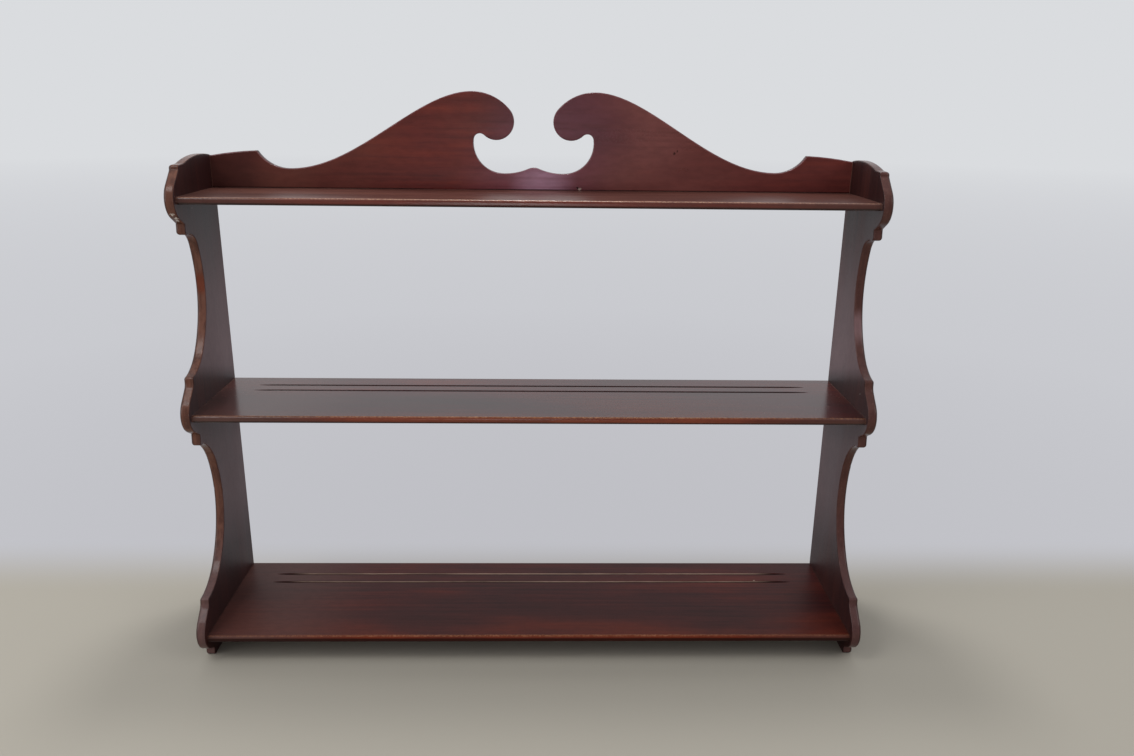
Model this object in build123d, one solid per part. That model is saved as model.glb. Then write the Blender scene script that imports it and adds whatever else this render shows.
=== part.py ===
from build123d import *
import math
import os

# Hanging wall shelf in mahogany: three shelves housed between two scroll cut
# sides, under a crest board with a pair of facing scrolls.
# Right is +X, the wall is at +Y and up is +Z. The back of the shelf is at y = 0.
# Inside the functions, depth is the distance forward from the back, and height
# is measured from the upper face of the lower shelf. Everything is placed last,
# with the origin midway between the two hanging holes, on the back.

# Driving sizes, in millimetres
inside_width = 888.0
side_thickness = 13.0
shelf_thickness = 9.5
crest_thickness = 9.5
nose_radius = 3.5

# Each shelf: height of its upper face, and depth from back to nose
top_height, top_depth = 587.0, 143.0
middle_height, middle_depth = 308.0, 172.0
lower_height, lower_depth = 0.0, 206.0

# Front outline of a side. At each shelf it has a cusp, a neck, a bulging scroll
# and a small square bead. The scroll is an arc with a straight flank above and
# below. Rises and drops are from the shelf's upper face, setbacks from the front.
scroll_projection = 6.0
top_scroll_drop, middle_scroll_drop, lower_scroll_drop = 5.0, 2.0, 0.0
upper_scroll_radius, lower_scroll_radius = 28.5, 27.0
upper_flank_angle, lower_flank_angle = 46.0, 60.0
cusp_setback = 26.0
top_cusp_rise, cusp_rise = 37.5, 46.5
top_neck_radius, neck_radius = 2.2, 12.0
heel_setback = 27.5
top_bead_drop, middle_bead_drop, lower_bead_drop = 50.5, 50.0, 42.5
bead_setback = 26.0
bead_length = 11.5
cusp_radius = 4.2
bead_radius = 4.2
hollow_radius = 1.5

# Each cove: depth at its deepest, how far up between two shelves that is, and
# the shares, forward and along, of the way to its ends where the curve eases
upper_cove_depth, upper_cove_place = 77.0, 0.56
lower_cove_depth, lower_cove_place = 95.0, 0.53
upper_cove_shoulder, upper_cove_toe = (0.27, 0.75), (0.44, 0.80)
lower_cove_shoulder, lower_cove_toe = (0.22, 0.57), (0.37, 0.765)

# Top and foot of a side
side_top_rise = 43.0
side_top_crown = 6.0
side_top_flat = 19.0
outer_arris_radius = 4.0
inner_arris_radius = 1.5

# Crest board: distances out from the middle, and rises above the top shelf
crest_peak_out, crest_peak_rise = 83.6, 131.3
crest_fall_start = 76.0
crest_fall_end = 94.0
crest_trough_out, crest_trough_rise = 337.5, 26.5
crest_corner_out, crest_corner_rise = 379.8, 50.2
crest_end_rise = 43.2
crest_end_crown = 1.2
crest_corner_radius = 2.0
scroll_back_out, scroll_back_rise = 32.8, 108.0
volute_end_out, volute_end_rise = 68.2, 73.8
notch_end_out, notch_end_rise = 82.5, 68.6
bowl_floor_out, bowl_floor_rise = 45.0, 22.7
centre_out, centre_rise = 7.0, 29.2
crest_arris_radius = 1.5

# Joinery
housing_depth = 5.0
housing_stop = 16.0
housing_fit = 0.15
housing_end_gap = 0.3

# Plate grooves
groove_setbacks = (35.0, 59.0)
groove_stop = 46.0
groove_width = 6.0
groove_depth = 2.2
groove_run_out = 30.0

# Screws of the crest board and pins of the shelves
crest_screw_places = (-330.0, -110.0, 110.0, 330.0)
crest_screw_length = 32.0
crest_screw_radius = 1.75
crest_screw_head_radius = 3.5
pin_radius = 0.8
pin_length = 32.0
pin_sink = 0.4
pin_shares = (0.3, 0.72)
fastener_clearance = 0.1
screw_sink = 0.3
slot_width = 0.9
slot_depth = 0.8

# Keyhole plates let into the back of the crest board
hanger_spacing = 260.0
hanger_rise = 63.0
hanger_width = 16.0
hanger_length = 42.0
hanger_thickness = 1.5
keyhole_radius = 4.75
keyhole_slot_width = 4.6
keyhole_travel = 9.0
pocket_width = 11.0
pocket_depth = 6.0
hanger_screw_spacing = 33.0
hanger_screw_length = 7.5
hanger_screw_radius = 1.25
hanger_screw_head_radius = 2.5
inlay_clearance = 0.1

half_inside = inside_width / 2
half_outside = half_inside + side_thickness
shelf_half_length = half_inside + housing_depth - housing_end_gap
hanger_height = top_height + hanger_rise
levels = ((top_height, top_depth), (middle_height, middle_depth), (lower_height, lower_depth))
scroll_drops = (top_scroll_drop, middle_scroll_drop, lower_scroll_drop)
bead_drops = (top_bead_drop, middle_bead_drop, lower_bead_drop)
cusp_rises = (top_cusp_rise, cusp_rise, cusp_rise)
neck_radii = (top_neck_radius, neck_radius, neck_radius)


def block(x_range, y_range, z_range):
    """A box between two values along each axis."""
    lows = [min(pair) for pair in (x_range, y_range, z_range)]
    highs = [max(pair) for pair in (x_range, y_range, z_range)]
    lengths = [high - low for low, high in zip(lows, highs)]
    corner = (Align.MIN, Align.MIN, Align.MIN)
    return Pos(*lows) * Box(*lengths, align=corner)


def rod(start, direction, radius, length):
    """A round bar from a point along a direction."""
    base = (Align.CENTER, Align.CENTER, Align.MIN)
    return Plane(start, z_dir=direction) * Cylinder(radius, length, align=base)


def at(depth, height):
    """A point of the side's outline, drawn on the plane across the shelf."""
    return Vector(-depth, height)


def on_front(row, setback, rise):
    """A point set back from the front of the scroll at one shelf."""
    height, depth = levels[row]
    return at(depth + scroll_projection - setback, height + rise)


def cusp_point(row):
    """The point at which a cove or the top meets the front of a side."""
    return on_front(row, cusp_setback, cusp_rises[row])


def bead_corners(row):
    """Lower front corner of the bead, and where the cove under it starts."""
    front = on_front(row, bead_setback, -bead_drops[row])
    return front, front + Vector(bead_length, 0)


def flank(front, way, radius, angle, setback):
    """Ends of the straight flank of a scroll. It leaves the arc at an angle to
    the upright, above the front of the scroll or, with a way of -1, below it."""
    turn = math.radians(angle)
    start = front + Vector(radius * (1 - math.cos(turn)), way * radius * math.sin(turn))
    run = setback - radius * (1 - math.cos(turn))
    return start, start + Vector(run, way * run / math.tan(turn))


def scroll_front(row):
    """Neck, scroll and bead of a side, and the ends of the flanks."""
    front = on_front(row, 0, -scroll_drops[row])
    shoulder, neck = flank(front, 1, upper_scroll_radius, upper_flank_angle, cusp_setback)
    belly, heel = flank(front, -1, lower_scroll_radius, lower_flank_angle, heel_setback)
    edges = [
        Line(cusp_point(row), neck),
        Line(neck, shoulder),
        TangentArc(front, shoulder, tangent=(0, 1)),
        TangentArc(front, belly, tangent=(0, -1)),
        Line(belly, heel),
        Line(heel, bead_corners(row)[0]),
    ]
    return edges, neck, heel


def part_way(start, end, forward, along):
    """A point the given shares of the way between two points."""
    return Vector(
        start.X + forward * (end.X - start.X), start.Y + along * (end.Y - start.Y)
    )


def cove(start, deepest, end, shoulder_shares, toe_shares):
    """Long hollow of a side, from a bead down to the next cusp."""
    shoulder = part_way(deepest, start, *shoulder_shares)
    toe = part_way(deepest, end, *toe_shares)
    rising = TangentArc(deepest, shoulder, tangent=(0, 1))
    under_bead = TangentArc(shoulder, start, tangent=rising % 1)
    falling = TangentArc(deepest, toe, tangent=(0, -1))
    over_cusp = TangentArc(toe, end, tangent=falling % 1)
    return [under_bead, rising, falling, over_cusp]


def cove_deepest(row, depth, place):
    """Deepest point of the cove under a shelf."""
    upper, lower = levels[row][0], levels[row + 1][0]
    return at(depth, lower + place * (upper - lower))


def side_outline():
    """Outline of a side as a face in the plane across the shelf."""
    top_cusp = cusp_point(0)
    back_top = at(0, top_height + side_top_rise)
    flat_end = top_cusp + Vector(side_top_flat, 1)
    crown = (back_top + flat_end) / 2 + Vector(0, side_top_crown)
    edges = [ThreePointArc(back_top, crown, flat_end), Line(flat_end, top_cusp)]
    necks, heels = [], []
    for row in range(len(levels)):
        front, neck, heel = scroll_front(row)
        edges += front
        necks.append(neck)
        heels.append(heel)
    upper_end = bead_corners(0)[1]
    lower_end = bead_corners(1)[1]
    edges += [Line(*bead_corners(0)), Line(*bead_corners(1))]
    upper_deepest = cove_deepest(0, upper_cove_depth, upper_cove_place)
    lower_deepest = cove_deepest(1, lower_cove_depth, lower_cove_place)
    upper_shares = (upper_cove_shoulder, upper_cove_toe)
    lower_shares = (lower_cove_shoulder, lower_cove_toe)
    edges += cove(upper_end, upper_deepest, cusp_point(1), *upper_shares)
    edges += cove(lower_end, lower_deepest, cusp_point(2), *lower_shares)
    foot_front = bead_corners(2)[0]
    foot_back = at(0, foot_front.Y)
    edges += [Line(foot_front, foot_back), Line(foot_back, back_top)]
    outline = make_face(Wire(edges)).face()
    for neck, radius in zip(necks, neck_radii):
        outline = soften(outline, [neck], radius)
    outline = soften(outline, heels + [upper_end, lower_end], hollow_radius)
    outline = soften(outline, [bead_corners(row)[0] for row in range(3)], bead_radius)
    return soften(outline, [cusp_point(row) for row in range(3)], cusp_radius)


def soften(outline, points, radius):
    """The outline with its corners at the given points rounded."""
    corners = [v for v in outline.vertices() if near(v, points)]
    return outline.fillet_2d(radius, corners)


def near(vertex, points):
    """True when a vertex lies at one of the points."""
    return any((Vector(*vertex) - point).length < 0.01 for point in points)


def shelf_housing(level, back):
    """Stopped groove in the right side that takes the end of a shelf."""
    height, depth = level
    across = (half_inside, half_inside + housing_depth)
    along = (-(depth - housing_stop) - housing_fit, back)
    up = (height - shelf_thickness - housing_fit, height + housing_fit)
    return block(across, along, up)


def pin_places(level, back):
    """Distances along Y of the pins at one shelf."""
    length = level[1] - back
    return [-(back + share * length) for share in pin_shares]


def shelf_pin_holes(radius):
    """Bars through the right side into the shelf ends, one for each pin."""
    bars = []
    for level, back in zip(levels, (crest_thickness, 0, 0)):
        for place in pin_places(level, back):
            start = (half_outside, place, level[0] - shelf_thickness / 2)
            bars.append(rod(start, (-1, 0, 0), radius, pin_length + pin_sink))
    return bars


def front_edges(face):
    """The edges of a side's flat face, apart from the one along the back."""
    return [edge for edge in face.edges() if edge.center().Y < -0.5]


def make_right_side():
    """Scroll cut side with its stopped housings and pin holes."""
    face = Plane.YZ.offset(half_inside) * side_outline()
    side = extrude(face, side_thickness)
    inner = side.faces().filter_by(Axis.X).sort_by(Axis.X)[0]
    side = fillet(front_edges(inner), inner_arris_radius)
    outer = side.faces().filter_by(Axis.X).sort_by(Axis.X)[-1]
    side = fillet(front_edges(outer), outer_arris_radius)
    for level, back in zip(levels, (-crest_thickness, 1, 1)):
        side -= shelf_housing(level, back)
    crest_foot = top_height - shelf_thickness - housing_fit
    across = (half_inside, half_inside + housing_depth)
    crest_end = (-crest_thickness - housing_fit, 1)
    side -= block(across, crest_end, (crest_foot, crest_foot + crest_peak_rise))
    for bar in shelf_pin_holes(pin_radius + fastener_clearance):
        side -= bar
    return side


def make_shelf(level, back):
    """Shelf with rounded nose, stopped tongues and pin holes at both ends."""
    height, depth = level
    up = (height - shelf_thickness, height)
    shelf = block((-half_inside, half_inside), (-depth, -back), up)
    noses = [e for e in shelf.edges().filter_by(Axis.X) if e.center().Y < 1 - depth]
    shelf = fillet(noses, nose_radius)
    tongue = block(
        (-shelf_half_length, shelf_half_length), (-(depth - housing_stop), -back), up
    )
    shelf += tongue
    for bar in shelf_pin_holes(pin_radius + fastener_clearance):
        shelf -= bar
        shelf -= mirror(bar, Plane.YZ)
    return shelf


def plate_groove(setback, height):
    """Cutter for one plate groove: round in section, feathered at both ends."""
    radius = ((groove_width / 2) ** 2 + groove_depth**2) / (2 * groove_depth)
    run_radius = groove_run_out**2 / (2 * groove_depth)
    tip = half_inside - groove_stop - groove_run_out
    tip_end = tip + (2 * run_radius * radius) ** 0.5
    profile = [
        Line((-tip, radius), (tip, radius)),
        TangentArc((tip, radius), (tip_end, 0), tangent=(1, 0)),
        Line((tip_end, 0), (-tip_end, 0)),
        TangentArc((-tip, radius), (-tip_end, 0), tangent=(-1, 0)),
    ]
    cutter = revolve(make_face(profile), Axis.X)
    return Pos(0, -setback, height + radius - groove_depth) * cutter


def make_plate_shelf(level):
    """Shelf with two grooves along the back, in which plates stand."""
    shelf = make_shelf(level, 0)
    for setback in groove_setbacks:
        shelf -= plate_groove(setback, level[0])
    return shelf


def crest_point(out, rise):
    """A point of the crest board's outline, in the plane of the wall."""
    return Vector(out, top_height + rise)


def crest_half_edges():
    """Upper edge of the right half of the crest board, from the peak inwards
    to the middle, then from the peak outwards to the end."""
    peak = crest_point(crest_peak_out, crest_peak_rise)
    chain = [
        peak,
        crest_point(scroll_back_out, scroll_back_rise),
        crest_point(volute_end_out, volute_end_rise),
        crest_point(notch_end_out, notch_end_rise),
        crest_point(bowl_floor_out, bowl_floor_rise),
        crest_point(centre_out, centre_rise),
    ]
    edges = []
    heading = Vector(-1, 0)
    for start, end in zip(chain, chain[1:]):
        edges.append(TangentArc(start, end, tangent=heading))
        heading = edges[-1] % 1
    trough = crest_point(crest_trough_out, crest_trough_rise)
    corner = crest_point(crest_corner_out, crest_corner_rise)
    inner = crest_point(half_inside, crest_end_rise)
    fall_start = peak + Vector(crest_fall_start, 0)
    fall_end = trough - Vector(crest_fall_end, 0)
    crown = (corner + inner) / 2 + Vector(0, crest_end_crown)
    edges += [
        Bezier(peak, fall_start, fall_end, trough),
        TangentArc(trough, corner, tangent=(1, 0)),
        ThreePointArc(corner, crown, inner),
        Line(inner, crest_point(shelf_half_length, crest_end_rise)),
    ]
    return edges, heading


def crest_face():
    """Outline of the crest board as a face in the plane of the wall."""
    half, heading = crest_half_edges()
    left = [mirror(edge, Plane.YZ).edge() for edge in half]
    middle = crest_point(centre_out, centre_rise)
    cap = TangentArc(middle, crest_point(-centre_out, centre_rise), tangent=heading)
    base = Polyline(
        crest_point(shelf_half_length, crest_end_rise),
        crest_point(shelf_half_length, -shelf_thickness),
        crest_point(-shelf_half_length, -shelf_thickness),
        crest_point(-shelf_half_length, crest_end_rise),
    )
    outline = make_face(Wire(half + left + [cap] + base.edges())).face()
    corners = [crest_point(x, crest_corner_rise) for x in (crest_corner_out, -crest_corner_out)]
    return soften(outline, corners, crest_corner_radius)


def screw(start, direction, radius, head_radius, length):
    """Countersunk wood screw with a slotted head and a pointed end."""
    head_height = head_radius - radius
    point = radius * 2.5
    profile = Polyline(
        (0, 0),
        (head_radius, 0),
        (radius, head_height),
        (radius, length - point),
        (0, length),
        close=True,
    )
    body = revolve(make_face(profile), Axis.Y)
    body -= Pos(0, slot_depth / 2, 0) * Box(head_radius * 3, slot_depth, slot_width)
    return Plane(start, x_dir=(1, 0, 0), z_dir=direction) * Rot(90, 0, 0) * body


def screw_hole(start, direction, radius, head_radius, length):
    """Hole for a countersunk screw, with its clearance."""
    wide = radius + fastener_clearance
    head_wide = head_radius + fastener_clearance
    cone = Cone(head_wide, wide, head_wide - wide, align=(Align.CENTER,) * 2 + (Align.MIN,))
    sunk = rod((0, 0, -screw_sink), (0, 0, 1), head_wide, screw_sink)
    shank = rod((0, 0, 0), (0, 0, 1), wide, length + fastener_clearance)
    return Plane(start, x_dir=(1, 0, 0), z_dir=direction) * (cone + sunk + shank)


def crest_screw_starts():
    """Where the heads of the crest screws sit, on the back of the board."""
    height = top_height - shelf_thickness / 2
    return [(x, -screw_sink, height) for x in crest_screw_places]


def crest_screw_holes():
    """Holes for the crest screws, through the board into the top shelf."""
    sizes = (crest_screw_radius, crest_screw_head_radius, crest_screw_length)
    return [screw_hole(start, (0, -1, 0), *sizes) for start in crest_screw_starts()]


def make_crest_screws():
    """The wood screws that hold the crest board to the top shelf."""
    sizes = (crest_screw_radius, crest_screw_head_radius, crest_screw_length)
    return [screw(start, (0, -1, 0), *sizes) for start in crest_screw_starts()]


def upright_slot(x, height, length, width):
    """Upright shape with round ends in the plane of the wall."""
    return Plane.XZ * Pos(x, height) * SlotOverall(length, width, rotation=90)


def hanger_middle():
    """Height of the middle of a hanging plate."""
    return hanger_height + keyhole_travel / 2


def hanger_screw_starts(x):
    """Where the screw heads of one hanging plate sit."""
    half = hanger_screw_spacing / 2
    return [(x, 0, hanger_middle() + side * half) for side in (-1, 1)]


def hanger_cuts(x):
    """Shallow recess, keyhole pocket and screw holes behind one plate."""
    margin = 2 * inlay_clearance
    recess = upright_slot(
        x, hanger_middle(), hanger_length + margin, hanger_width + margin
    )
    travel = keyhole_travel + pocket_width
    pocket = upright_slot(x, hanger_middle(), travel, pocket_width)
    cuts = [extrude(recess, hanger_thickness), extrude(pocket, pocket_depth)]
    sizes = (hanger_screw_radius, hanger_screw_head_radius, hanger_screw_length)
    cuts += [screw_hole(start, (0, -1, 0), *sizes) for start in hanger_screw_starts(x)]
    return cuts


def make_hanger_plate(x):
    """Brass plate with a keyhole: a round entry and a narrow slot over it."""
    outline = upright_slot(x, hanger_middle(), hanger_length, hanger_width)
    travel = keyhole_travel + keyhole_slot_width
    outline -= Plane.XZ * Pos(x, hanger_height) * Circle(keyhole_radius)
    outline -= upright_slot(x, hanger_middle(), travel, keyhole_slot_width)
    plate = extrude(outline, hanger_thickness)
    sizes = (hanger_screw_radius, hanger_screw_head_radius, hanger_screw_length)
    for start in hanger_screw_starts(x):
        plate -= screw_hole(start, (0, -1, 0), *sizes)
    return plate


def make_hanger_screws():
    """The short screws of both hanging plates."""
    sizes = (hanger_screw_radius, hanger_screw_head_radius, hanger_screw_length)
    screws = []
    for x in (-hanger_spacing / 2, hanger_spacing / 2):
        screws += [screw(start, (0, -1, 0), *sizes) for start in hanger_screw_starts(x)]
    return screws


def make_crest_board():
    """Crest board with eased edges, screw holes and hanger recesses."""
    board = extrude(Plane.XZ * crest_face(), crest_thickness)
    foot = top_height - shelf_thickness
    arrises = []
    for face in board.faces().filter_by(Axis.Y):
        for edge in face.edges():
            middle = edge.center()
            if middle.Z > foot + 1 and abs(middle.X) < shelf_half_length - 0.1:
                arrises.append(edge)
    board = fillet(arrises, crest_arris_radius)
    cuts = crest_screw_holes()
    for x in (-hanger_spacing / 2, hanger_spacing / 2):
        cuts += hanger_cuts(x)
    for cut in cuts:
        board -= cut
    return board


def make_top_shelf():
    """Shelf in front of the crest board, drilled for the crest screws."""
    shelf = make_shelf(levels[0], crest_thickness)
    for cut in crest_screw_holes():
        shelf -= cut
    return shelf


def make_shelf_pins():
    """The pins of the right side, through the side into the shelf ends."""
    pins = []
    for level, back in zip(levels, (crest_thickness, 0, 0)):
        for place in pin_places(level, back):
            start = (half_outside - pin_sink, place, level[0] - shelf_thickness / 2)
            pins.append(rod(start, (-1, 0, 0), pin_radius, pin_length))
    return pins


def group(shapes):
    """Separate solids kept together as one node."""
    return Compound([solid for shape in shapes for solid in shape.solids()])


def make_nodes():
    """Every piece of the shelf by name."""
    right_side = make_right_side()
    right_pins = group(make_shelf_pins())
    return {
        "left_side_panel": mirror(right_side, Plane.YZ),
        "right_side_panel": right_side,
        "top_shelf": make_top_shelf(),
        "middle_shelf": make_plate_shelf(levels[1]),
        "lower_shelf": make_plate_shelf(levels[2]),
        "crest_board": make_crest_board(),
        "crest_screws": group(make_crest_screws()),
        "left_shelf_pins": mirror(right_pins, Plane.YZ),
        "right_shelf_pins": right_pins,
        "left_hanger_plate": make_hanger_plate(-hanger_spacing / 2),
        "right_hanger_plate": make_hanger_plate(hanger_spacing / 2),
        "hanger_screws": group(make_hanger_screws()),
    }


os.makedirs("parts", exist_ok=True)
for name, shape in make_nodes().items():
    export_step(Pos(0, 0, -hanger_height) * shape, f"parts/{name}.step")
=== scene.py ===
# %% [markdown]
# A mahogany hanging shelf
#
# This lesson dresses a finished construction model. The boards, screws and
# hanging plates come in as fixed pieces, already in place and at real size.
# They could be modelled again here, but two models of one shelf never quite
# agree. So Blender adds only what the eye needs: the camera, the light, and
# the finishes.

from types import SimpleNamespace

import bmesh
import bpy
from mathutils import Matrix, Vector


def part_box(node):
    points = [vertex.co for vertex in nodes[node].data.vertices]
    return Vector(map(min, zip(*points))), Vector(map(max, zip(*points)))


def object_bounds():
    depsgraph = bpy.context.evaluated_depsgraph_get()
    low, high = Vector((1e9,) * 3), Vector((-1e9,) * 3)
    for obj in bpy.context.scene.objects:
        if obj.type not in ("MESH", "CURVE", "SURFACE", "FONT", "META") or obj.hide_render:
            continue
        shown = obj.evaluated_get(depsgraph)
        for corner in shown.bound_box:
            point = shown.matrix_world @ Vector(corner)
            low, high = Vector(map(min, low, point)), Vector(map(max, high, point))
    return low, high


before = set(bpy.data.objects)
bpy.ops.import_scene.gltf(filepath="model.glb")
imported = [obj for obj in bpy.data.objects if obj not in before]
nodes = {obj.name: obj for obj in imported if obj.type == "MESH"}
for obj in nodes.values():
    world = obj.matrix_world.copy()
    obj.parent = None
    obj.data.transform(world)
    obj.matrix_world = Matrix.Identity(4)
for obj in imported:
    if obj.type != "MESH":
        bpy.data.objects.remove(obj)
construction_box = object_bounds()
floor_height = construction_box[0][2]
print("pieces:", sorted(nodes))

# %% [markdown]
# The camera
#
# The real shelf was seen from three quarters of a metre above the floor and a
# little over a metre in front, looking down. A short lens that near makes the
# lower shelf look narrower than the top. A camera could be aimed by hand until
# it looks right, but then every shape is judged in a wrong view. So its own
# right, down and forward, and its place in metres, were worked out from the
# outline of the real shelf and are only written down here.

# %% Camera
camera_right = Vector((0.99974, -0.01971, 0.01129))
camera_down = Vector((0.00498, -0.29475, -0.95556))
camera_forward = Vector((0.02216, 0.95537, -0.29458))
camera_place = Vector((0.0200, -1.2892, 0.0575))

camera_data = bpy.data.cameras.new("front view")
camera_data.sensor_width = 36.0
camera_data.lens = 28.58
camera_data.clip_start = 0.05
camera = bpy.data.objects.new("front view", camera_data)
bpy.context.scene.collection.objects.link(camera)
turned = Matrix((camera_right, -camera_down, -camera_forward)).transposed()
camera.matrix_world = Matrix.Translation(camera_place) @ turned.to_4x4()
bpy.context.scene.camera = camera
print("camera", round(camera_place.z - floor_height, 2), "m above the floor, lens", camera_data.lens)

# %% [markdown]
# Colours and nodes
#
# A finish is made of colours and of the nodes that mix them. Colours are written
# as hex values, as in a paint program. Those hold sRGB, and Blender mixes light
# in linear values, so one function turns them. Each node could be made, set and
# linked on lines of its own, but then the finish is lost among them. So a second
# function adds any node with its settings and feeds its inputs.

# %% Colour and node helpers
def linear(hex_colour):
    """Linear red, green, blue and alpha of an sRGB hex colour."""
    values = [int(hex_colour[start : start + 2], 16) / 255 for start in (1, 3, 5)]
    curved = [v / 12.92 if v <= 0.04045 else ((v + 0.055) / 1.055) ** 2.4 for v in values]
    return (*curved, 1.0)


def add(tree, kind, inputs=None, **settings):
    """Adds a node, sets it, and feeds its inputs with values or with other sockets."""
    node = tree.nodes.new(kind)
    for name, value in settings.items():
        setattr(node, name, value)
    for name, value in (inputs or {}).items():
        if isinstance(value, bpy.types.NodeSocket):
            tree.links.new(value, node.inputs[name])
        else:
            node.inputs[name].default_value = value
    return node


def new_material(name):
    """An empty material and its node tree."""
    material = bpy.data.materials.new(name)
    material.use_nodes = True
    material.node_tree.nodes.clear()
    return material, material.node_tree


print("middle grey is", round(linear("#808080")[0], 3))

# %% [markdown]
# Soft masks
#
# Light, dirt and wear fade in and out over a distance. A mask is a value from 0
# to 1 that says how much of something shows. It could be painted as an image,
# but then it has to be painted anew when a size changes. So a mask is worked out
# from limits. A limit follows one value, such as a height or a noise, and goes
# softly from a low to a high level while that value goes from one number to
# another. Several limits are multiplied, so that all have to allow it.

# %% Soft masks
def soft_mask(tree, *limits):
    """Product of limits: each is a mask, or a value, from, to, and its low and high level."""
    masks = []
    for limit in limits:
        if isinstance(limit, bpy.types.NodeSocket):
            masks.append(limit)
            continue
        value, start, end, *levels = limit
        low, high = levels or (0.0, 1.0)
        inputs = {"Value": value, "From Min": start, "From Max": end, "To Min": low, "To Max": high}
        masks.append(add(tree, "ShaderNodeMapRange", inputs, interpolation_type="SMOOTHSTEP").outputs[0])
    result, *others = masks
    for mask in others:
        result = add(tree, "ShaderNodeMath", {0: result, 1: mask}, operation="MULTIPLY").outputs[0]
    return result


print("helper ready:", soft_mask.__name__)

# %% [markdown]
# Light by direction
#
# A dark varnished object is mostly seen by what it reflects, so the room comes
# before the finish. It is bright behind the shelf and overhead, and dimmer on
# the viewer's side. That lets the varnish on the shelves turn grey with
# reflected wall, while the crest, which faces the viewer, stays dark and red.
# An image of a room could give this, but it would bring windows and colours that
# nobody asked for. So one function gives the brightness for any direction.

# %% Brightness of the room by direction
dim_side, bright_side = 0.45, 1.0
bright_direction = (0, 0.85, 0.53)  # to the back and up
dim_until, bright_from = -0.5, 0.6  # how far a direction leans that way, from -1 to 1


def room_brightness(tree, direction):
    """Dim towards the viewer's side, bright towards the back and overhead."""
    inputs = {0: direction, 1: bright_direction}
    lean = add(tree, "ShaderNodeVectorMath", inputs, operation="DOT_PRODUCT").outputs["Value"]
    return soft_mask(tree, (lean, dim_until, bright_from, dim_side, bright_side))


print("room strength", dim_side, "to", bright_side)

# %% [markdown]
# The floor
#
# The shelf stands on a plain pale floor. A thick slab could be built, but only its upper side would ever be
# seen, so a grid of one face is enough.

# %% Floor
floor_reach = 20.0  # metres from the middle to each edge

shape = bmesh.new()
bmesh.ops.create_grid(shape, x_segments=1, y_segments=1, size=floor_reach)
bmesh.ops.translate(shape, verts=shape.verts, vec=(0, 0, floor_height))
floor_mesh = bpy.data.meshes.new("floor")
shape.to_mesh(floor_mesh)
shape.free()
floor = bpy.data.objects.new("floor", floor_mesh)
bpy.context.scene.collection.objects.link(floor)
floor_edge = max(vertex.co.x for vertex in floor_mesh.vertices)
print("floor at", round(floor_height, 4), "m, and", floor_edge, "m to each edge")

# %% [markdown]
# Where the floor ends
#
# Near the shelf the floor is matt paint. Past the back of the shelf it runs off
# into a paler surround, as paper does that is rolled up behind an object. A
# second face could stand there as a wall, but it would show a corner. So the
# floor's own material changes by place: a mask tells where the surround begins,
# and a ramp makes it paler with distance.

# %% Surround by place
low_surround = linear("#babac0")
middle_surround = linear("#c9cacf")
high_surround = linear("#dadcdf")
back_fade = (-0.02, 0.16)  # metres behind the back of the shelf
far_fade = (1.6, 4.5)  # metres from the middle of the shelf
palest_at = 12.0
middle_stop = 0.18  # share of that distance

floor_material, tree = new_material("plain painted floor")
place = add(tree, "ShaderNodeTexCoord").outputs["Object"]
depth = add(tree, "ShaderNodeSeparateXYZ", {0: place}).outputs["Y"]
reach = add(tree, "ShaderNodeVectorMath", {0: place}, operation="LENGTH").outputs["Value"]
behind, far = soft_mask(tree, (depth, *back_fade)), soft_mask(tree, (reach, *far_fade))
past = add(tree, "ShaderNodeMath", {0: behind, 1: far}, operation="MAXIMUM").outputs[0]
distance = add(tree, "ShaderNodeMapRange", {"Value": reach, "From Max": palest_at}).outputs[0]
surround = add(tree, "ShaderNodeValToRGB", {"Fac": distance})
stops = surround.color_ramp.elements
stops[0].color, stops[1].color = low_surround, high_surround
stops.new(middle_stop).color = middle_surround
print("surround begins", back_fade[0], "to", back_fade[1], "m behind the shelf")

# %% [markdown]
# Who sees the surround
#
# A surround that glows would also light the shelf and wash out its shadow. It
# could be a separate object that is hidden from some rays, but it is the same
# sheet as the floor. So Light Path tells the kinds of ray apart: the camera and
# reflections see the surround, and all other light meets the paint.

# %% Floor material
near_floor_colour = linear("#aaa498")
floor_roughness = 0.85
viewer_offset = (0, 2, 0)  # metres, added to look at the surround from in front of the shelf

path = add(tree, "ShaderNodeLightPath").outputs
seen = path["Is Camera Ray"]
for ray in ("Is Glossy Ray", "Is Transmission Ray"):
    seen = add(tree, "ShaderNodeMath", {0: seen, 1: path[ray]}, operation="MAXIMUM").outputs[0]
ahead = add(tree, "ShaderNodeVectorMath", {0: place, 1: viewer_offset}, operation="ADD").outputs[0]
facing = add(tree, "ShaderNodeVectorMath", {0: ahead}, operation="NORMALIZE").outputs[0]
inputs = {"Base Color": near_floor_colour, "Roughness": floor_roughness}
paint = add(tree, "ShaderNodeBsdfPrincipled", inputs).outputs[0]
inputs = {"Color": surround.outputs[0], "Strength": room_brightness(tree, facing)}
paper = add(tree, "ShaderNodeEmission", inputs).outputs[0]
inputs = {0: soft_mask(tree, past, seen), 1: paint, 2: paper}
blend = add(tree, "ShaderNodeMixShader", inputs).outputs[0]
add(tree, "ShaderNodeOutputMaterial", {"Surface": blend})
floor_mesh.materials.append(floor_material)
print(floor_material.name)

# %% [markdown]
# Room light
#
# In a room light comes from every side, off the walls and the ceiling. Many
# lamps could stand for that, but each would leave its own spot in the varnish.
# So the world gives it, with the brightness by direction from above.

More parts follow.
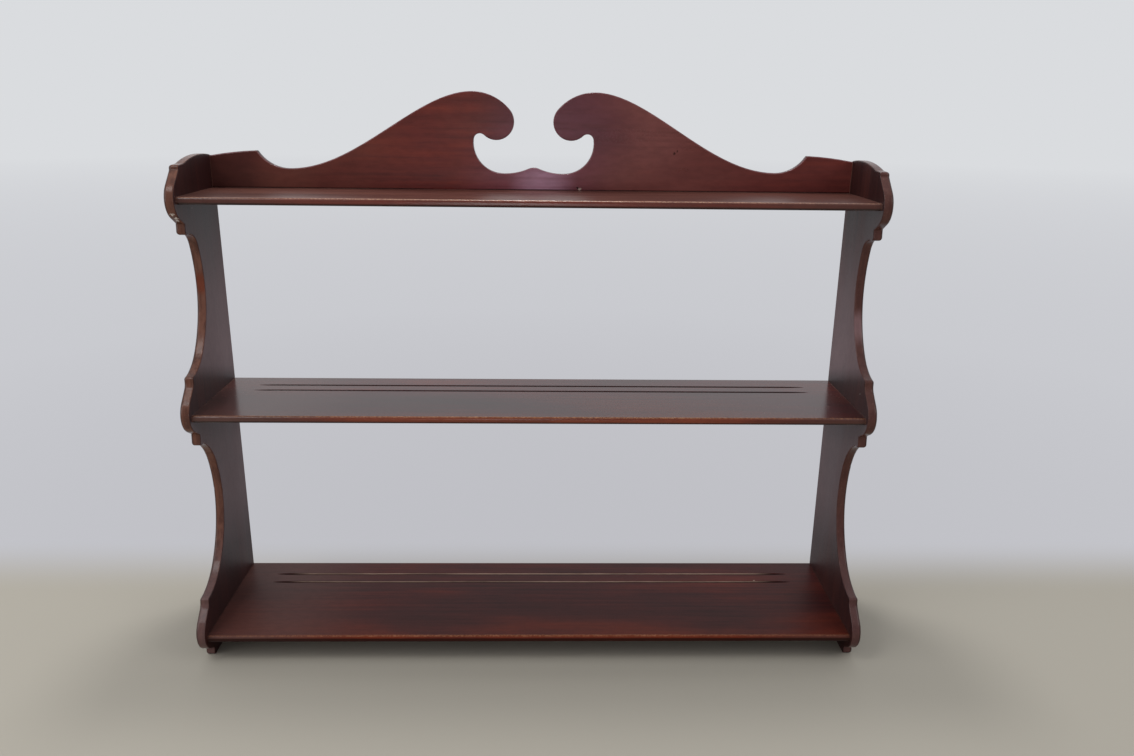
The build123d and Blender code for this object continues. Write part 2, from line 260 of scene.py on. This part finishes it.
# %% Room
world = bpy.data.worlds.new("pale room")
world.use_nodes = True
tree = world.node_tree
tree.nodes.clear()
direction = add(tree, "ShaderNodeTexCoord").outputs["Generated"]
inputs = {"Color": high_surround, "Strength": room_brightness(tree, direction)}
sky = add(tree, "ShaderNodeBackground", inputs).outputs[0]
add(tree, "ShaderNodeOutputWorld", {"Surface": sky})
bpy.context.scene.world = world
bpy.context.scene.view_settings.view_transform = "Standard"
print("room:", world.name)

# %% [markdown]
# Lamps
#
# One lamp overhead, a little behind the shelf, lays the shadow under and before
# it. A high lamp and a low wide one stand at the left, where the real shelf had
# daylight, and a weaker one at the right. A faint one behind the viewer, low
# down, puts a sheen on the middle of the crest. A sun or a spot would draw hard
# edges, so all are round area lamps, and their size sets how soft they are.

# %% Lamps
lamps = {  # place and width in metres, and power in watts
    "overhead lamp": ((-0.04, 0.45, 1.75), 0.4, 15.0),
    "high lamp at the left": ((-1.3, -1.1, 1.60), 0.8, 9.0),
    "low wide lamp at the left": ((-2.1, -1.1, 0.4), 1.8, 15.0),
    "weak lamp at the right": ((1.9, -1.2, 0.9), 1.2, 8.0),
    "faint lamp behind the viewer": ((-0.12, -2.4, -0.20), 0.5, 4.0),
}
aimed_at = Vector((0, -0.08, -0.3))

for name, (spot, width, power) in lamps.items():
    lamp_data = bpy.data.lights.new(name, "AREA")
    lamp_data.shape = "DISK"
    lamp_data.size = width
    lamp_data.energy = power
    lamp = bpy.data.objects.new(name, lamp_data)
    bpy.context.scene.collection.objects.link(lamp)
    turn = (aimed_at - Vector(spot)).to_track_quat("-Z", "Y").to_matrix().to_4x4()
    lamp.matrix_world = Matrix.Translation(spot) @ turn
print("lamps:", list(lamps))

# %% [markdown]
# Patterns in the wood
#
# Mahogany has a quiet straight grain, short dark pores, and soft clouds of light
# and dark. The old varnish over it has crazed into small darker islands, and
# holds dust and fine scratches. An image of a board could show all that, but it
# fits one board at one size. So each pattern is a noise, stretched along the
# grain by its length and width on real wood.

# %% Patterns in the wood
patterns = {  # length along the grain and width across it in metres, and amount of detail
    "grain": (0.180, 0.006, 4.0),
    "pores": (0.020, 0.0009, 2.0),  # real pores are 0.2 mm wide and would not show
    "clouds": (0.300, 0.080, 3.0),
    "mottle": (0.016, 0.006, 3.0),
    "specks": (0.0022, 0.0022, 2.0),  # dust and scratches, drawn coarser than they are
}
swirl = 0.3  # how far a noise bends its own lines


def noise_pattern(tree, place, length, width, detail, upright=False, offset=0.0):
    """Noise that is long along the grain and narrow across it."""
    along, across = 1 / length, 1 / width
    scale = (across, across, along) if upright else (along, across, across)
    mapped = add(tree, "ShaderNodeMapping", {"Vector": place, "Scale": scale, "Location": (offset,) * 3})
    inputs = {"Vector": mapped.outputs[0], "Scale": 1.0, "Detail": detail, "Distortion": swirl}
    return add(tree, "ShaderNodeTexNoise", inputs).outputs["Fac"]


for pattern, (length, width, _) in patterns.items():
    print(pattern, round(length * 1000, 1), "by", round(width * 1000, 1), "mm")

# %% [markdown]
# Wear and dirt in layers
#
# Old furniture is worn where hands reach it and dirty where they do not. Brush
# strokes on an image could show that, but they slide off when a board changes.
# So wear is a list of layers. Each layer is a colour with the limits of where it
# shows, and a limit names what it follows on the board: x, y or z, out for the
# distance from the middle of the shelf, or one of the patterns. After the name
# come the two numbers between which the layer fades in, and then, where it never
# quite goes or never fully comes, its least and greatest share. Lengths are in
# metres, in the board's own coordinates, so wear stays put in every view.

# %% Layers on a board
def mask_on(board, *limits):
    """A soft mask from limits that name the board's own values."""
    values = board.values
    found = [values[item] if isinstance(item, str) else (values[item[0]], *item[1:]) for item in limits]
    return soft_mask(board.tree, *found)


def keep_masks(board, masks):
    """Keeps each mask among the board's values, under its name."""
    for title, limits in masks.items():
        board.values[title] = mask_on(board, *limits)


def lay(board, layers):
    """Lays colours over the board's own in order, each where its limits let it show."""
    for hex_colour, *limits in layers.values():
        inputs = {"Factor": mask_on(board, *limits), 6: board.colour, 7: linear(hex_colour)}
        board.colour = add(board.tree, "ShaderNodeMix", inputs, data_type="RGBA").outputs[2]


print("helpers ready:", mask_on.__name__, keep_masks.__name__, lay.__name__)

# %% [markdown]
# The mahogany of each board
#
# The boards are red brown mahogany that leans to purple in one place and to
# orange in another, and no two are quite alike. One shared material would make
# them look cut from one sheet of print. So every board gets its own: three tones
# blended by clouds and grain, cut from another place in the noise, and dark
# pores on top. The longer side of a board tells which way its grain runs.

# %% Ground of a board
woods = {  # dark, middle and light tone, and how far off in the noise the board is cut
    "top_shelf": ("#4c2c26", "#5f3a32", "#724638", 0.0),
    "middle_shelf": ("#35120f", "#47191a", "#5f2419", 3.1),
    "lower_shelf": ("#301110", "#401816", "#582119", 6.3),
    "left_side_panel": ("#241010", "#301615", "#3f1d19", 11.0),
    "right_side_panel": ("#241010", "#301615", "#3f1d19", 16.7),
    "crest_board": ("#4e1c1b", "#642622", "#7b3025", 17.9),
}
tone_stops = (0.36, 0.50, 0.66)  # where in the figure each tone lies
grain_share = 0.42  # of the figure; the rest is clouds
ground_layers = {"dark pores": ("#1c0909", ("pores", 0.56, 0.74, 0.0, 0.22))}


def box_of(name):
    """Lowest and highest corner of a piece."""
    low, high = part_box(name)
    return Vector(low), Vector(high)


def values_of(tree, place, upright, offset):
    """What wear can follow on a board: coordinates, distance from the middle, patterns."""
    x, y, z = add(tree, "ShaderNodeSeparateXYZ", {0: place}).outputs
    out = add(tree, "ShaderNodeMath", {0: x}, operation="ABSOLUTE").outputs[0]
    values = {"x": x, "y": y, "z": z, "out": out}
    for pattern, sizes in patterns.items():
        values[pattern] = noise_pattern(tree, place, *sizes, upright, offset)
    return values


def start_board(name):
    """A board in plain mahogany, ready for its wear."""
    *tones, offset = woods[name]
    low, high = box_of(name)
    upright = high.z - low.z > high.x - low.x
    material, tree = new_material(f"varnished mahogany {name.replace('_', ' ')}")
    place = add(tree, "ShaderNodeTexCoord").outputs["Object"]
    values = values_of(tree, place, upright, offset)
    inputs = {"Factor": grain_share, 2: values["clouds"], 3: values["grain"]}
    figure = add(tree, "ShaderNodeMix", inputs, data_type="FLOAT").outputs[0]
    tone = add(tree, "ShaderNodeValToRGB", {"Fac": figure})
    stops = tone.color_ramp.elements
    stops[0].position, stops[0].color = tone_stops[0], linear(tones[0])
    stops[1].position, stops[1].color = tone_stops[2], linear(tones[2])
    stops.new(tone_stops[1]).color = linear(tones[1])
    board = SimpleNamespace(name=name, material=material, tree=tree, place=place, low=low, high=high)
    board.values, board.colour = values, tone.outputs[0]
    lay(board, ground_layers)
    return board


print("boards:", list(woods))

# %% [markdown]
# Small marks
#
# Chips, nail holes and knots are round spots with a ragged rim. Each could be a
# dent in the mesh, but the boards are fixed here and the spots are a millimetre
# or a few across. So a spot is a mask: the distance from its centre, with noise
# added, has to stay small.

# %% Small marks
raggedness = 1.6  # these three are shares of the spot's size
spot_rim, spot_middle = 1.35, 0.95


def ragged_spot(board, centre, size, noise):
    """A round mask with a ragged rim, about as wide as its size."""
    inputs = {0: board.place, 1: centre}
    away = add(board.tree, "ShaderNodeVectorMath", inputs, operation="DISTANCE").outputs["Value"]
    inputs = {0: board.values[noise], 1: size * raggedness, 2: away}
    ragged = add(board.tree, "ShaderNodeMath", inputs, operation="MULTIPLY_ADD").outputs[0]
    return soft_mask(board.tree, (ragged, size * spot_rim, size * spot_middle))


def add_marks(board, marks):
    """Small spots over all other wear."""
    for centre, size, hex_colour in marks:
        board.values["mark"] = ragged_spot(board, centre, size, "specks")
        lay(board, {"mark": (hex_colour, "mark")})


print("a spot fades over", round(spot_rim - spot_middle, 2), "of its size")

# %% [markdown]
# Gloss and relief of old varnish
#
# Old varnish is glossy but uneven. It is duller where dust lies, and worn edges
# have a gloss of their own. The back is taken to be raw wood, so it is dull. The
# varnish sinks into the pores, and has shrunk to a fine orange peel and a slow
# ripple. Real relief this fine would need millions of faces, so three bumps on
# top of each other stand in for it.

# %% Gloss and relief
varnish = {  # roughness of the flat and of the worn edge, and strength of reflection
    "top_shelf": (0.30, 0.25, 0.40),
    "middle_shelf": (0.16, 0.25, 0.42),
    "lower_shelf": (0.38, 0.35, 0.12),
    "left_side_panel": (0.42, 0.22, 0.22),
    "right_side_panel": (0.42, 0.22, 0.22),
    "crest_board": (0.27, 0.20, 0.16),
}
uneven_gloss, dusty_gloss = 0.06, 0.1  # how much roughness clouds and dust may add
raw_roughness = 0.62
bumps = (  # pattern, strength, depth in metres, and whether it is sunk
    ("pores", 0.20, 0.0002, True),
    ("specks", 0.12, 0.0002, False),
    ("clouds", 0.30, 0.0006, False),
)


def gloss(board, flat_roughness, edge_roughness):
    """Roughness: uneven and dusty on the flat, even on the worn edge and the bare back."""
    cloudy = mask_on(board, ("clouds", 0.3, 0.7, flat_roughness, flat_roughness + uneven_gloss))
    dusty = mask_on(board, ("specks", 0.5, 0.8, 0.0, dusty_gloss))
    roughness = add(board.tree, "ShaderNodeMath", {0: cloudy, 1: dusty}, operation="ADD").outputs[0]
    for mask, even in (("worn edge", edge_roughness), ("bare back", raw_roughness)):
        inputs = {"Factor": board.values[mask], 2: roughness, 3: even}
        roughness = add(board.tree, "ShaderNodeMix", inputs, data_type="FLOAT").outputs[0]
    return roughness


def relief(board):
    """The bumps of the varnish, each on top of the one before."""
    inputs = {}
    for pattern, strength, depth, sunk in bumps:
        inputs.update({"Strength": strength, "Distance": depth, "Height": board.values[pattern]})
        inputs["Normal"] = add(board.tree, "ShaderNodeBump", inputs, invert=sunk).outputs[0]
    return inputs["Normal"]


print("bumps:", [pattern for pattern, *_ in bumps])

# %% [markdown]
# Finish a board
#
# The last coats are the same on every board: the crazed varnish, the small marks
# and the bare back. They could be repeated for each, but then the boards would
# soon differ by mistake. So one function lays them and builds the surface. The
# varnish is a clear coat on dark wood, which a plain glossy surface with the
# index of varnish already shows, so no second coat layer is used.

# %% Finish a board
varnish_index = 1.5
crazing = {"crazed varnish": ("#1c0909", ("mottle", 0.34, 0.72, 0.0, 0.16))}
back_masks = {"bare back": [("y", -0.0012, -0.0004)]}
back_layers = {"bare back": ("#4e352a", "bare back")}


def give_material(name, material):
    """Puts one material on a piece, in place of any that it has."""
    materials = nodes[name].data.materials
    materials.clear()
    materials.append(material)
    print(name, "in", material.name)


def finish_board(board, marks=()):
    """Lays the last coats and gives the board its surface."""
    flat_roughness, edge_roughness, reflection = varnish[board.name]
    lay(board, crazing)
    add_marks(board, marks)
    keep_masks(board, back_masks)
    lay(board, back_layers)
    inputs = {
        "Base Color": board.colour,
        "Roughness": gloss(board, flat_roughness, edge_roughness),
        "IOR": varnish_index,
        "Specular IOR Level": reflection,
        "Normal": relief(board),
    }
    surface = add(board.tree, "ShaderNodeBsdfPrincipled", inputs).outputs[0]
    add(board.tree, "ShaderNodeOutputMaterial", {"Surface": surface})
    give_material(board.name, board.material)


print("index of varnish", varnish_index)

# %% [markdown]
# Where the shelves are worn
#
# The nose of a shelf is rubbed most in its middle, and the lower two shelves have plate grooves, which are
# painted dark as painted shade in the recess. Each place could be picked by hand on the mesh, but then it
# is lost when the mesh is made again. So a place is a mask that follows two more values: behind, the
# distance from the front, and below, the depth under the upper face.

# %% Masks on a shelf
shelf_masks = {
    "worn edge": [("behind", 0.0042, 0.0024)],
    "inward": [("out", 0.42, 0.16, 0.45, 1.0)],
    "groove": [("below", 0.0001, 0.0005), ("below", 0.0040, 0.0030), ("behind", 0.050, 0.060)],
}


def start_shelf(name):
    """A shelf in plain mahogany, with the masks for its wear."""
    board = start_board(name)
    inputs = {0: board.values["y"], 1: board.low.y}
    board.values["behind"] = add(board.tree, "ShaderNodeMath", inputs, operation="SUBTRACT").outputs[0]
    inputs = {0: board.high.z, 1: board.values["z"]}
    board.values["below"] = add(board.tree, "ShaderNodeMath", inputs, operation="SUBTRACT").outputs[0]
    keep_masks(board, shelf_masks)
    return board


print("masks on a shelf:", list(shelf_masks))

# %% [markdown]
# Wear and painted light on the front
#
# Hands have rubbed the nose to an orange brown. Its ends are greyer with a painted reflection, its under
# side is dark with painted shade, and along its upper edge a thin pale line is a painted highlight. On the
# lower two shelves the wood just behind it is warmer, partly rubbed and partly painted light where the
# shelf above does not shade it, and the left end is greyer with a painted reflection. One worn colour for
# all of it would look like a painted stripe. So each of these is a layer, and the shelves share them: only
# two colours, the depth where the painted shade begins and the reach of the warmth differ.

# %% Front of a shelf
# The lip colour is a painted highlight, and the last number is the depth under the top where the painted
# shade of the nose begins.
shelf_fronts = {  # colour of the nose and of the chipped lip, and height that is rubbed
    "top_shelf": ("#6c2b1f", "#b48a70", 0.0055),
    "middle_shelf": ("#7c3820", "#a3714f", 0.0055),
    "lower_shelf": ("#6b2814", "#8e5c41", 0.0020),
}
# On the middle and lower shelf the front strip is partly rubbed and partly painted light, where the shelf
# above does not shade it; the top shelf has no such strip.
rubbed_and_lit_reaches = {"middle_shelf": 0.03, "lower_shelf": 0.09}  # the top shelf is rubbed evenly all over
under_fade = 0.002


def front_layers(name):
    """Wear, painted light, painted shade, painted reflection and painted highlight on the front of a shelf.
    """
    nose_colour, lip_highlight_colour, shade_starts_below = shelf_fronts[name]
    lip_highlight = [("behind", 0.0050, 0.0035), ("below", 0.0014, 0.0006), ("specks", 0.42, 0.62, 0.25, 1.0)]
    under = ("below", shade_starts_below, shade_starts_below + under_fade, 0.0, 0.85)
    layers = {
        "rubbed nose": (nose_colour, "worn edge", "inward", ("grain", 0.35, 0.62, 0.45, 1.0)),
        # painted reflection: the ends of the nose are painted greyer
        "painted reflection at the nose ends": ("#4f302a", "worn edge", ("out", 0.28, 0.40, 0.0, 0.7)),
    }
    if name in rubbed_and_lit_reaches:
        # partly rubbed colour, partly painted light on the front strip
        rubbed_and_lit = (("behind", rubbed_and_lit_reaches[name], 0.004), ("clouds", 0.36, 0.62, 0.15, 0.8))
        layers = {"rubbed and painted lit front": ("#602414", *rubbed_and_lit), **layers}
        # painted reflection: the left end of the shelf is painted greyer
        layers["greyer left end"] = ("#5c423d", ("x", -0.22, -0.38, 0.0, 0.5))
    # painted shade on the downward-facing under side of the nose
    layers["dark under the nose"] = ("#230c09", "worn edge", under)
    # painted highlight along the upper edge of the nose, strongest in the middle
    layers["chipped lip"] = (lip_highlight_colour, "inward", *lip_highlight)
    return layers


print("layers on the front of the lower shelf:", list(front_layers("lower_shelf")))

# %% [markdown]
# Joints and plate grooves
#
# In the corners between two boards varnish and dust have set in a line, at both ends of every shelf and
# along the foot of the crest. It is pale on the upper two shelves and faint on the lowest. The grooves are
# painted dark, as painted shade in the recess. On the lower shelf the back wall of each groove has a broken
# pale line of painted highlight.
# The lines could be thin strips of mesh, but the real ones have next to no
# thickness. So they are layers too, placed from the faces of the boards beside.

# %% Joints and grooves of a shelf
inner_face = -box_of("left_side_panel")[1].x
crest_front = box_of("crest_board")[0].y
groove_places = (-0.035, -0.059)
joint_colours = {"top_shelf": "#644840", "middle_shelf": "#644840", "lower_shelf": "#3f2824"}


def joint_layers(name):
    """Pale lines along the joints of a shelf, or the painted shade in its grooves."""
    side_joint = (("out", inner_face - 0.0022, inner_face - 0.0010), ("specks", 0.35, 0.6, 0.3, 0.8))
    layers = {"joint with the sides": (joint_colours[name], *side_joint)}
    if name == "top_shelf":
        layers["joint with the crest"] = (
            "#957565",
            ("y", crest_front - 0.0034, crest_front - 0.0016),
            ("grain", 0.40, 0.58, 0.3, 1.0),
            ("out", 0.12, 0.26, 0.2, 1.0),
        )
    else:
        # painted shade in the recess of each groove
        layers["dark grooves"] = ("#2a0f0c", "groove")
    return layers


def groove_wall_highlight(groove):
    """Painted highlight on the back wall of one groove, up to its ends."""
    return (
        # painted highlight on the back wall of the groove
        "#a78c7c",
        "groove",
        ("y", groove + 0.0016, groove + 0.0024),
        ("y", groove + 0.0040, groove + 0.0034),
        ("grain", 0.40, 0.60, 0.4, 0.95),
        ("out", 0.38, 0.34),
    )


print("inner face of the sides at", round(inner_face, 4), "m")

# %% [markdown]
# The three shelves
#
# Each shelf now gets its wear and painted light in the order in which it came: the front, the joints, and
# the grooves. The three could be written out one after another, but they differ in little, so a loop does
# it, and the lower shelf has two small pale chips of its own.

# %% Shelves
groove_wall_highlights = {f"painted highlight on the groove wall at {groove} m": groove_wall_highlight(groove) for groove in groove_places}
lower_marks = [  # place, size and colour
    ((0.342, -0.0545, -0.650), 0.0022, "#c9b6a2"),
    ((0.363, -0.0575, -0.650), 0.0014, "#b8a08c"),
]
for name in ("top_shelf", "middle_shelf", "lower_shelf"):
    lowest = name == "lower_shelf"
    shelf = start_shelf(name)
    lay(shelf, front_layers(name))
    lay(shelf, joint_layers(name))
    lay(shelf, groove_wall_highlights if lowest else {})
    finish_board(shelf, lower_marks if lowest else ())

# %% [markdown]
# Flat faces and shaped edges
#
# A side has two flat faces, with a shaped edge that turns from one to the other.
# The edge could be a second material on its own faces, but the border would be
# hard. So the normal of the surface tells them apart: it points along one axis
# on the flat, and away from it on the edge. The crest is read the same way.

# %% Flatness
def keep_flatness(board, axis):
    """Keeps how squarely the surface faces along an axis, from 0 to 1."""
    normal = add(board.tree, "ShaderNodeNewGeometry").outputs["Normal"]
    facing = add(board.tree, "ShaderNodeSeparateXYZ", {0: normal}).outputs[axis]
    board.values["flat"] = add(board.tree, "ShaderNodeMath", {0: facing}, operation="ABSOLUTE").outputs[0]


print("helper ready:", keep_flatness.__name__)

# %% [markdown]
# Painted reflection inside the sides
#
# The inner faces are dark, with a grey painted reflection of the pale room between the shelves. It fades
# out to painted shade towards the shelf above, and starts higher up near the front than at the back. One
# even tint would look like fog. So a ramp gives the share of painted reflection by height, and the height
# is tilted a little from back to front.

# %% Painted reflection by height
# Each share says how much painted reflection shows at that height.
reflection_by_height = {  # height in metres: share of the haze
    -0.60: 0.0,
    -0.52: 0.65,
    -0.44: 0.7,
    -0.39: 0.1,
    -0.342: 0.0,
    -0.322: 0.85,
    -0.30: 0.95,
    -0.22: 0.75,
    -0.10: 0.0,
}
reflection_foot, reflection_head = -0.65, 0.0  # heights at the two ends of the ramp
reflection_tilt = 0.3


def keep_painted_reflection(board):
    """Keeps the share of painted reflection for the height."""
    tilted = {0: board.values["y"], 1: reflection_tilt, 2: board.values["z"]}
    height = add(board.tree, "ShaderNodeMath", tilted, operation="MULTIPLY_ADD").outputs[0]
    inputs = {"Value": height, "From Min": reflection_foot, "From Max": reflection_head}
    level = add(board.tree, "ShaderNodeMapRange", inputs).outputs[0]
    ramp = add(board.tree, "ShaderNodeValToRGB", {"Fac": level})
    stops = ramp.color_ramp.elements
    stops[0].color = stops[1].color = (0, 0, 0, 1)
    for height, share in reflection_by_height.items():
        stops.new((height - reflection_foot) / (reflection_head - reflection_foot)).color = (share, share, share, 1)
    board.values["haze"] = ramp.outputs[0]


print("stops of the haze:", len(reflection_by_height))

# %% [markdown]
# The sides
#
# The shaped front edge is what hands take hold of when the shelf is carried. It is rubbed to a grey brown
# and greyer low down, with an orange patch in the upper hollow at the left. It is darker at the right with
# painted shade, it has a painted highlight in the upper hollow at the right, and its rounded outer rim has
# painted shade. On the inner faces the grey is a painted reflection. Where the crest meets the inner face
# there is a pale line. The wear could be cut into the edge, but it has hardly changed its shape. So it is
# colour only, and so are the painted light and shade. One list of layers serves both sides, and x tells
# left from right.

# %% Wear of a side
top_of_top_shelf = box_of("top_shelf")[1].z
outer_face = box_of("right_side_panel")[1].x
side_masks = {
    "inside": [("out", outer_face - 0.0110, outer_face - 0.0125)],
    "worn edge": [("flat", 0.85, 0.45)],
}
hollows = {  # centre and size of the two patches in the upper hollows
    "left hollow": ((-0.450, -0.074, -0.185), 0.035),
    "right hollow": ((0.450, -0.080, -0.235), 0.060),
}
side_layers = {
    # painted reflection of the pale room on the inner faces
    "haze": ("#6c5457", "inside", "haze", ("flat", 0.45, 0.85)),
    "rubbed edge": ("#6f493c", "worn edge", ("grain", 0.32, 0.62, 0.5, 1.0)),
    "greyer low down": ("#5c4647", "worn edge", ("z", -0.52, -0.60, 0.0, 0.7)),
    "orange patch": ("#6d3726", "worn edge", "left hollow"),
    # painted shade: the right side's edge is painted darker, away from the light at the left
    "painted shade at the right": ("#50312f", "worn edge", ("x", -0.1, 0.1, 0.0, 0.75)),
    # painted highlight on the edge in the right upper hollow
    "painted highlight at the right": ("#7d6062", "worn edge", "right hollow"),
    # painted shade on the rounded outer rim of the edge
    "painted shade on the outer rim": ("#2b1310", "worn edge", ("out", outer_face - 0.0040, outer_face - 0.0015, 0.0, 0.7)),
    "scuffs": ("#86695c", "worn edge", ("specks", 0.60, 0.80, 0.0, 0.35)),
    "joint with the crest": (
        "#6f4d42",
        "inside",
        ("y", crest_front - 0.0028, crest_front - 0.0014),
        ("z", top_of_top_shelf - 0.0005, top_of_top_shelf + 0.0005),
        ("grain", 0.35, 0.60, 0.3, 0.9),
    ),
}
print("layers on a side:", list(side_layers))

# %% [markdown]
# Marks on the sides
#
# On the left side there are pale spots under the top shelf, and a small grey spot lies behind them. The
# right side has a short dark scratch and a pale speck. Marks like these could be scattered at random, but
# real ones stand where something knocked. So each has its own place.

# %% Sides
side_marks = {  # place, size and colour
    "left_side_panel": [
        ((-0.4500, -0.1432, -0.0850), 0.0050, "#d8d0c8"),
        ((-0.4475, -0.1375, -0.0902), 0.0056, "#cdbfb4"),
        ((-0.4490, -0.1315, -0.0938), 0.0050, "#d8d0c8"),
        ((-0.4440, -0.0925, -0.0820), 0.0030, "#5e534e"),
    ],
    "right_side_panel": [
        ((0.4440, -0.0634, -0.3005), 0.0022, "#120707"),
        ((0.4440, -0.0618, -0.3035), 0.0022, "#120707"),
        ((0.4440, -0.1382, -0.3180), 0.0016, "#e6ded6"),
    ],
}
for name, marks in side_marks.items():
    side = start_board(name)
    keep_flatness(side, "X")
    keep_painted_reflection(side)
    keep_masks(side, side_masks)
    for title, (centre, size) in hollows.items():
        side.values[title] = ragged_spot(side, centre, size, "clouds")
    lay(side, side_layers)
    finish_board(side, marks)

# %% [markdown]
# The tone of the crest
#
# The crest faces the viewer and shows the wood best. It is browner towards its left end, shaded at the very
# end, and lighter right of the middle. Soft round tints lie on it, and low in the middle there is a purple
# patch of painted sheen, a painted reflection of daylight in the room of the real shelf. A lamp for each
# would light the shelves too, so here they are colour in the varnish.

# %% Tones, tints and painted sheen of the crest
crest_tones = {
    "browner left end": ("#6a3c33", ("x", -0.12, -0.34), ("clouds", 0.30, 0.60, 0.4, 1.0)),
    "shaded left end": ("#35191a", ("x", -0.35, -0.41, 0.0, 0.6)),
    "lighter right half": (
        "#7c4843",
        ("x", 0.02, 0.14),
        ("x", 0.36, 0.22, 0.35, 0.9),
        ("clouds", 0.35, 0.65, 0.6, 1.0),
    ),
}
crest_tints_and_sheen = [  # place, reach in metres, strength and colour
    ((-0.105, crest_front, 0.055), 0.080, 0.20, "#8a3a26"),
    ((0.170, crest_front, 0.015), 0.070, 0.45, "#8a5552"),
    # The three purple spots below are painted sheen: a painted reflection in the varnish.
    ((0.040, crest_front, 0.025), 0.130, 0.70, "#613845"),
    ((0.0, crest_front, -0.055), 0.120, 0.60, "#7d4452"),
    ((0.012, crest_front, -0.056), 0.052, 0.90, "#a87c90"),
]
full_tint = 0.2  # share of its reach within which a glow is strongest


def add_tints_and_sheen(board, glows):
    """Soft round tints and painted sheen that fade out with distance and follow the grain."""
    for centre, reach, strength, hex_colour in glows:
        inputs = {0: board.place, 1: centre}
        away = add(board.tree, "ShaderNodeVectorMath", inputs, operation="DISTANCE")
        board.values["away"] = away.outputs["Value"]
        fading = ("away", reach, reach * full_tint, 0.0, strength)
        lay(board, {"tint and painted sheen": (hex_colour, fading, ("grain", 0.30, 0.60, 0.6, 1.0))})


print("glows on the crest:", len(crest_tints_and_sheen))

# %% [markdown]
# The edge of the crest
#
# The crest's front arris is eased, and a thin painted highlight runs along it all round. The edge behind it
# has painted shade. Along its foot the joint with the top shelf has opened to a thin dark line. There is a
# faint knot right of the middle, and a small nail hole with a pale rim near the bowl. An outline of mesh
# could draw the arris, but its rounding is already in the board, so the normal finds it.

# %% Crest
crest_masks = {"worn edge": [("flat", 0.97, 0.75)]}
crest_edges = {
    "dark joint": (
        "#240d0e",
        ("z", top_of_top_shelf + 0.0020, top_of_top_shelf + 0.0010),
        ("grain", 0.36, 0.52, 0.3, 0.9),
    ),
    # painted highlight along the eased front arris
    "painted highlight on the arris": (
        "#8c6468",
        ("flat", 0.985, 0.93),
        ("flat", 0.45, 0.65),
        ("grain", 0.35, 0.62, 0.3, 0.9),
    ),
    # painted shade on the edge behind the arris
    "painted shade on the edge": ("#331618", ("flat", 0.65, 0.35, 0.0, 0.75)),
}
crest_marks = [  # place, size and colour of the knot, then of the nail hole
    ((0.1948, -0.0095, -0.0115), 0.0046, "#35160f"),
    ((0.1990, -0.0095, -0.0085), 0.0034, "#3c1a14"),
    ((0.0640, -0.0095, -0.0603), 0.0040, "#a08a80"),
    ((0.0612, -0.0095, -0.0590), 0.0034, "#100606"),
]
crest = start_board("crest_board")
keep_flatness(crest, "Y")
keep_masks(crest, crest_masks)
lay(crest, crest_tones)
add_tints_and_sheen(crest, crest_tints_and_sheen)
lay(crest, crest_edges)
finish_board(crest, crest_marks)

# %% [markdown]
# Brass plates and steel screws
#
# The hanging plates are sheet brass that has gone brown in patches, and their
# screws are brass too. The other screws and the pins are plain drawn steel, dull
# with age. One even metal would look new. So a noise spreads the tarnish, and
# where it lies the metal is darker, rougher and a little pitted.

# %% Aged brass and dull steel
tarnish_limits = (0.4, 0.62)  # of the noise, from clean to tarnished
tarnish_detail = 5.0
rougher = 0.3  # roughness that tarnish adds
pit_strength, pit_depth = 0.2, 0.0001


def aged_metal(name, clean, tarnished, roughness, patch_size):
    """Metal with patches of tarnish of a given size in metres."""
    material, tree = new_material(name)
    place = add(tree, "ShaderNodeTexCoord").outputs["Object"]
    patches = noise_pattern(tree, place, patch_size, patch_size, tarnish_detail)
    inputs = {"Factor": soft_mask(tree, (patches, *tarnish_limits)), 6: linear(clean), 7: linear(tarnished)}
    colour = add(tree, "ShaderNodeMix", inputs, data_type="RGBA").outputs[2]
    inputs = {"Strength": pit_strength, "Distance": pit_depth, "Height": patches}
    pitted = add(tree, "ShaderNodeBump", inputs).outputs[0]
    inputs = {
        "Base Color": colour,
        "Metallic": 1.0,
        "Roughness": soft_mask(tree, (patches, 0.0, 1.0, roughness, roughness + rougher)),
        "Normal": pitted,
    }
    surface = add(tree, "ShaderNodeBsdfPrincipled", inputs).outputs[0]
    add(tree, "ShaderNodeOutputMaterial", {"Surface": surface})
    return material


brass = aged_metal("aged sheet brass", "#c9a35c", "#6b4f2b", 0.28, 0.004)
steel = aged_metal("dull steel wire", "#8f8c88", "#4a4038", 0.35, 0.002)
for name in ("left_hanger_plate", "right_hanger_plate", "hanger_screws"):
    give_material(name, brass)
for name in ("crest_screws", "left_shelf_pins", "right_shelf_pins"):
    give_material(name, steel)
